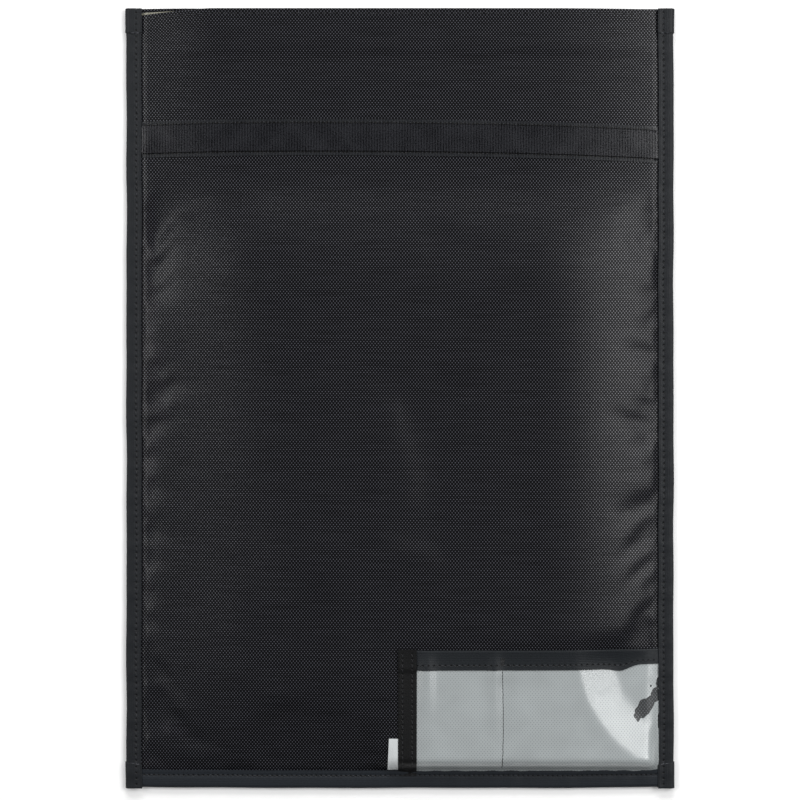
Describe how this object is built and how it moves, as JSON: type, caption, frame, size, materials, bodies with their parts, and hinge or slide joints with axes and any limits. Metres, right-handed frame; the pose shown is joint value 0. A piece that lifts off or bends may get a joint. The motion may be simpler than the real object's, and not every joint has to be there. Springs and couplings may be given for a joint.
{
  "type": "battery safety bag",
  "caption": "Flat fire-resistant fabric bag for lithium batteries, with bound edges, a fold-over hook and loop mouth and a clear card pocket.",
  "frame": {"origin": "middle of the bag's outline, on the surface that it lies on", "axes": "+Y to the mouth, +Z out of the front panel, +X to the side with the card pocket"},
  "size_m": [0.38, 0.539, 0.018],
  "materials": {
    "coated_nylon": "coarse plain weave with a faint coated sheen",
    "glass_fibre_lining": "silver-grey coated glass fibre cloth",
    "binding_tape": "matte ribbed webbing tape",
    "hook_and_loop": "matte pile between woven edges",
    "vinyl_film": "hazy clear film with a gloss",
    "label_cloth": "white satin-woven label",
    "sewing_thread": "bonded polyester thread"
  },
  "bodies": {
    "bag": {"front_shell": "coated_nylon", "back_shell": "coated_nylon", "front_lining": "glass_fibre_lining", "back_lining": "glass_fibre_lining", "left_binding": "binding_tape", "right_binding": "binding_tape", "bottom_binding": "binding_tape", "left_binding_stitches": "sewing_thread", "right_binding_stitches": "sewing_thread", "bottom_binding_stitches": "sewing_thread", "loop_tape": "hook_and_loop", "loop_tape_stitches": "sewing_thread", "pocket_window": "vinyl_film", "pocket_top_binding": "binding_tape", "pocket_top_stitches": "sewing_thread", "pocket_left_binding": "binding_tape", "pocket_left_stitches": "sewing_thread", "pocket_divider_seam": "sewing_thread"},
    "fold_band": {"fold_front_shell": "coated_nylon", "fold_back_shell": "coated_nylon", "fold_front_lining": "glass_fibre_lining", "fold_back_lining": "glass_fibre_lining", "fold_left_binding": "binding_tape", "fold_right_binding": "binding_tape", "fold_left_binding_stitches": "sewing_thread", "fold_right_binding_stitches": "sewing_thread"},
    "lip_band": {"lip_front_shell": "coated_nylon", "lip_back_shell": "coated_nylon", "lip_front_lining": "glass_fibre_lining", "lip_back_lining": "glass_fibre_lining", "lip_left_binding": "binding_tape", "lip_right_binding": "binding_tape", "lip_left_binding_stitches": "sewing_thread", "lip_right_binding_stitches": "sewing_thread", "hook_tape": "hook_and_loop", "hook_tape_stitches": "sewing_thread"},
    "label": {"care_label": "label_cloth"}
  },
  "joints": [
    {"name": "lower_fold", "type": "hinge", "parent": "bag", "child": "fold_band", "pos_m": [0, 0.1995, 0.014], "axis": [1, 0, 0], "range_deg": [0, 179]},
    {"name": "upper_fold", "type": "hinge", "parent": "fold_band", "child": "lip_band", "pos_m": [0, 0.2345, 0.00875], "axis": [1, 0, 0], "range_deg": [0, 179]},
    {"name": "label_flip", "type": "hinge", "parent": "bag", "child": "label", "pos_m": [-0.0017, -0.245, 0.00853], "axis": [0, 0.9475, 0.3198], "range_deg": [0, 90]}
  ]
}
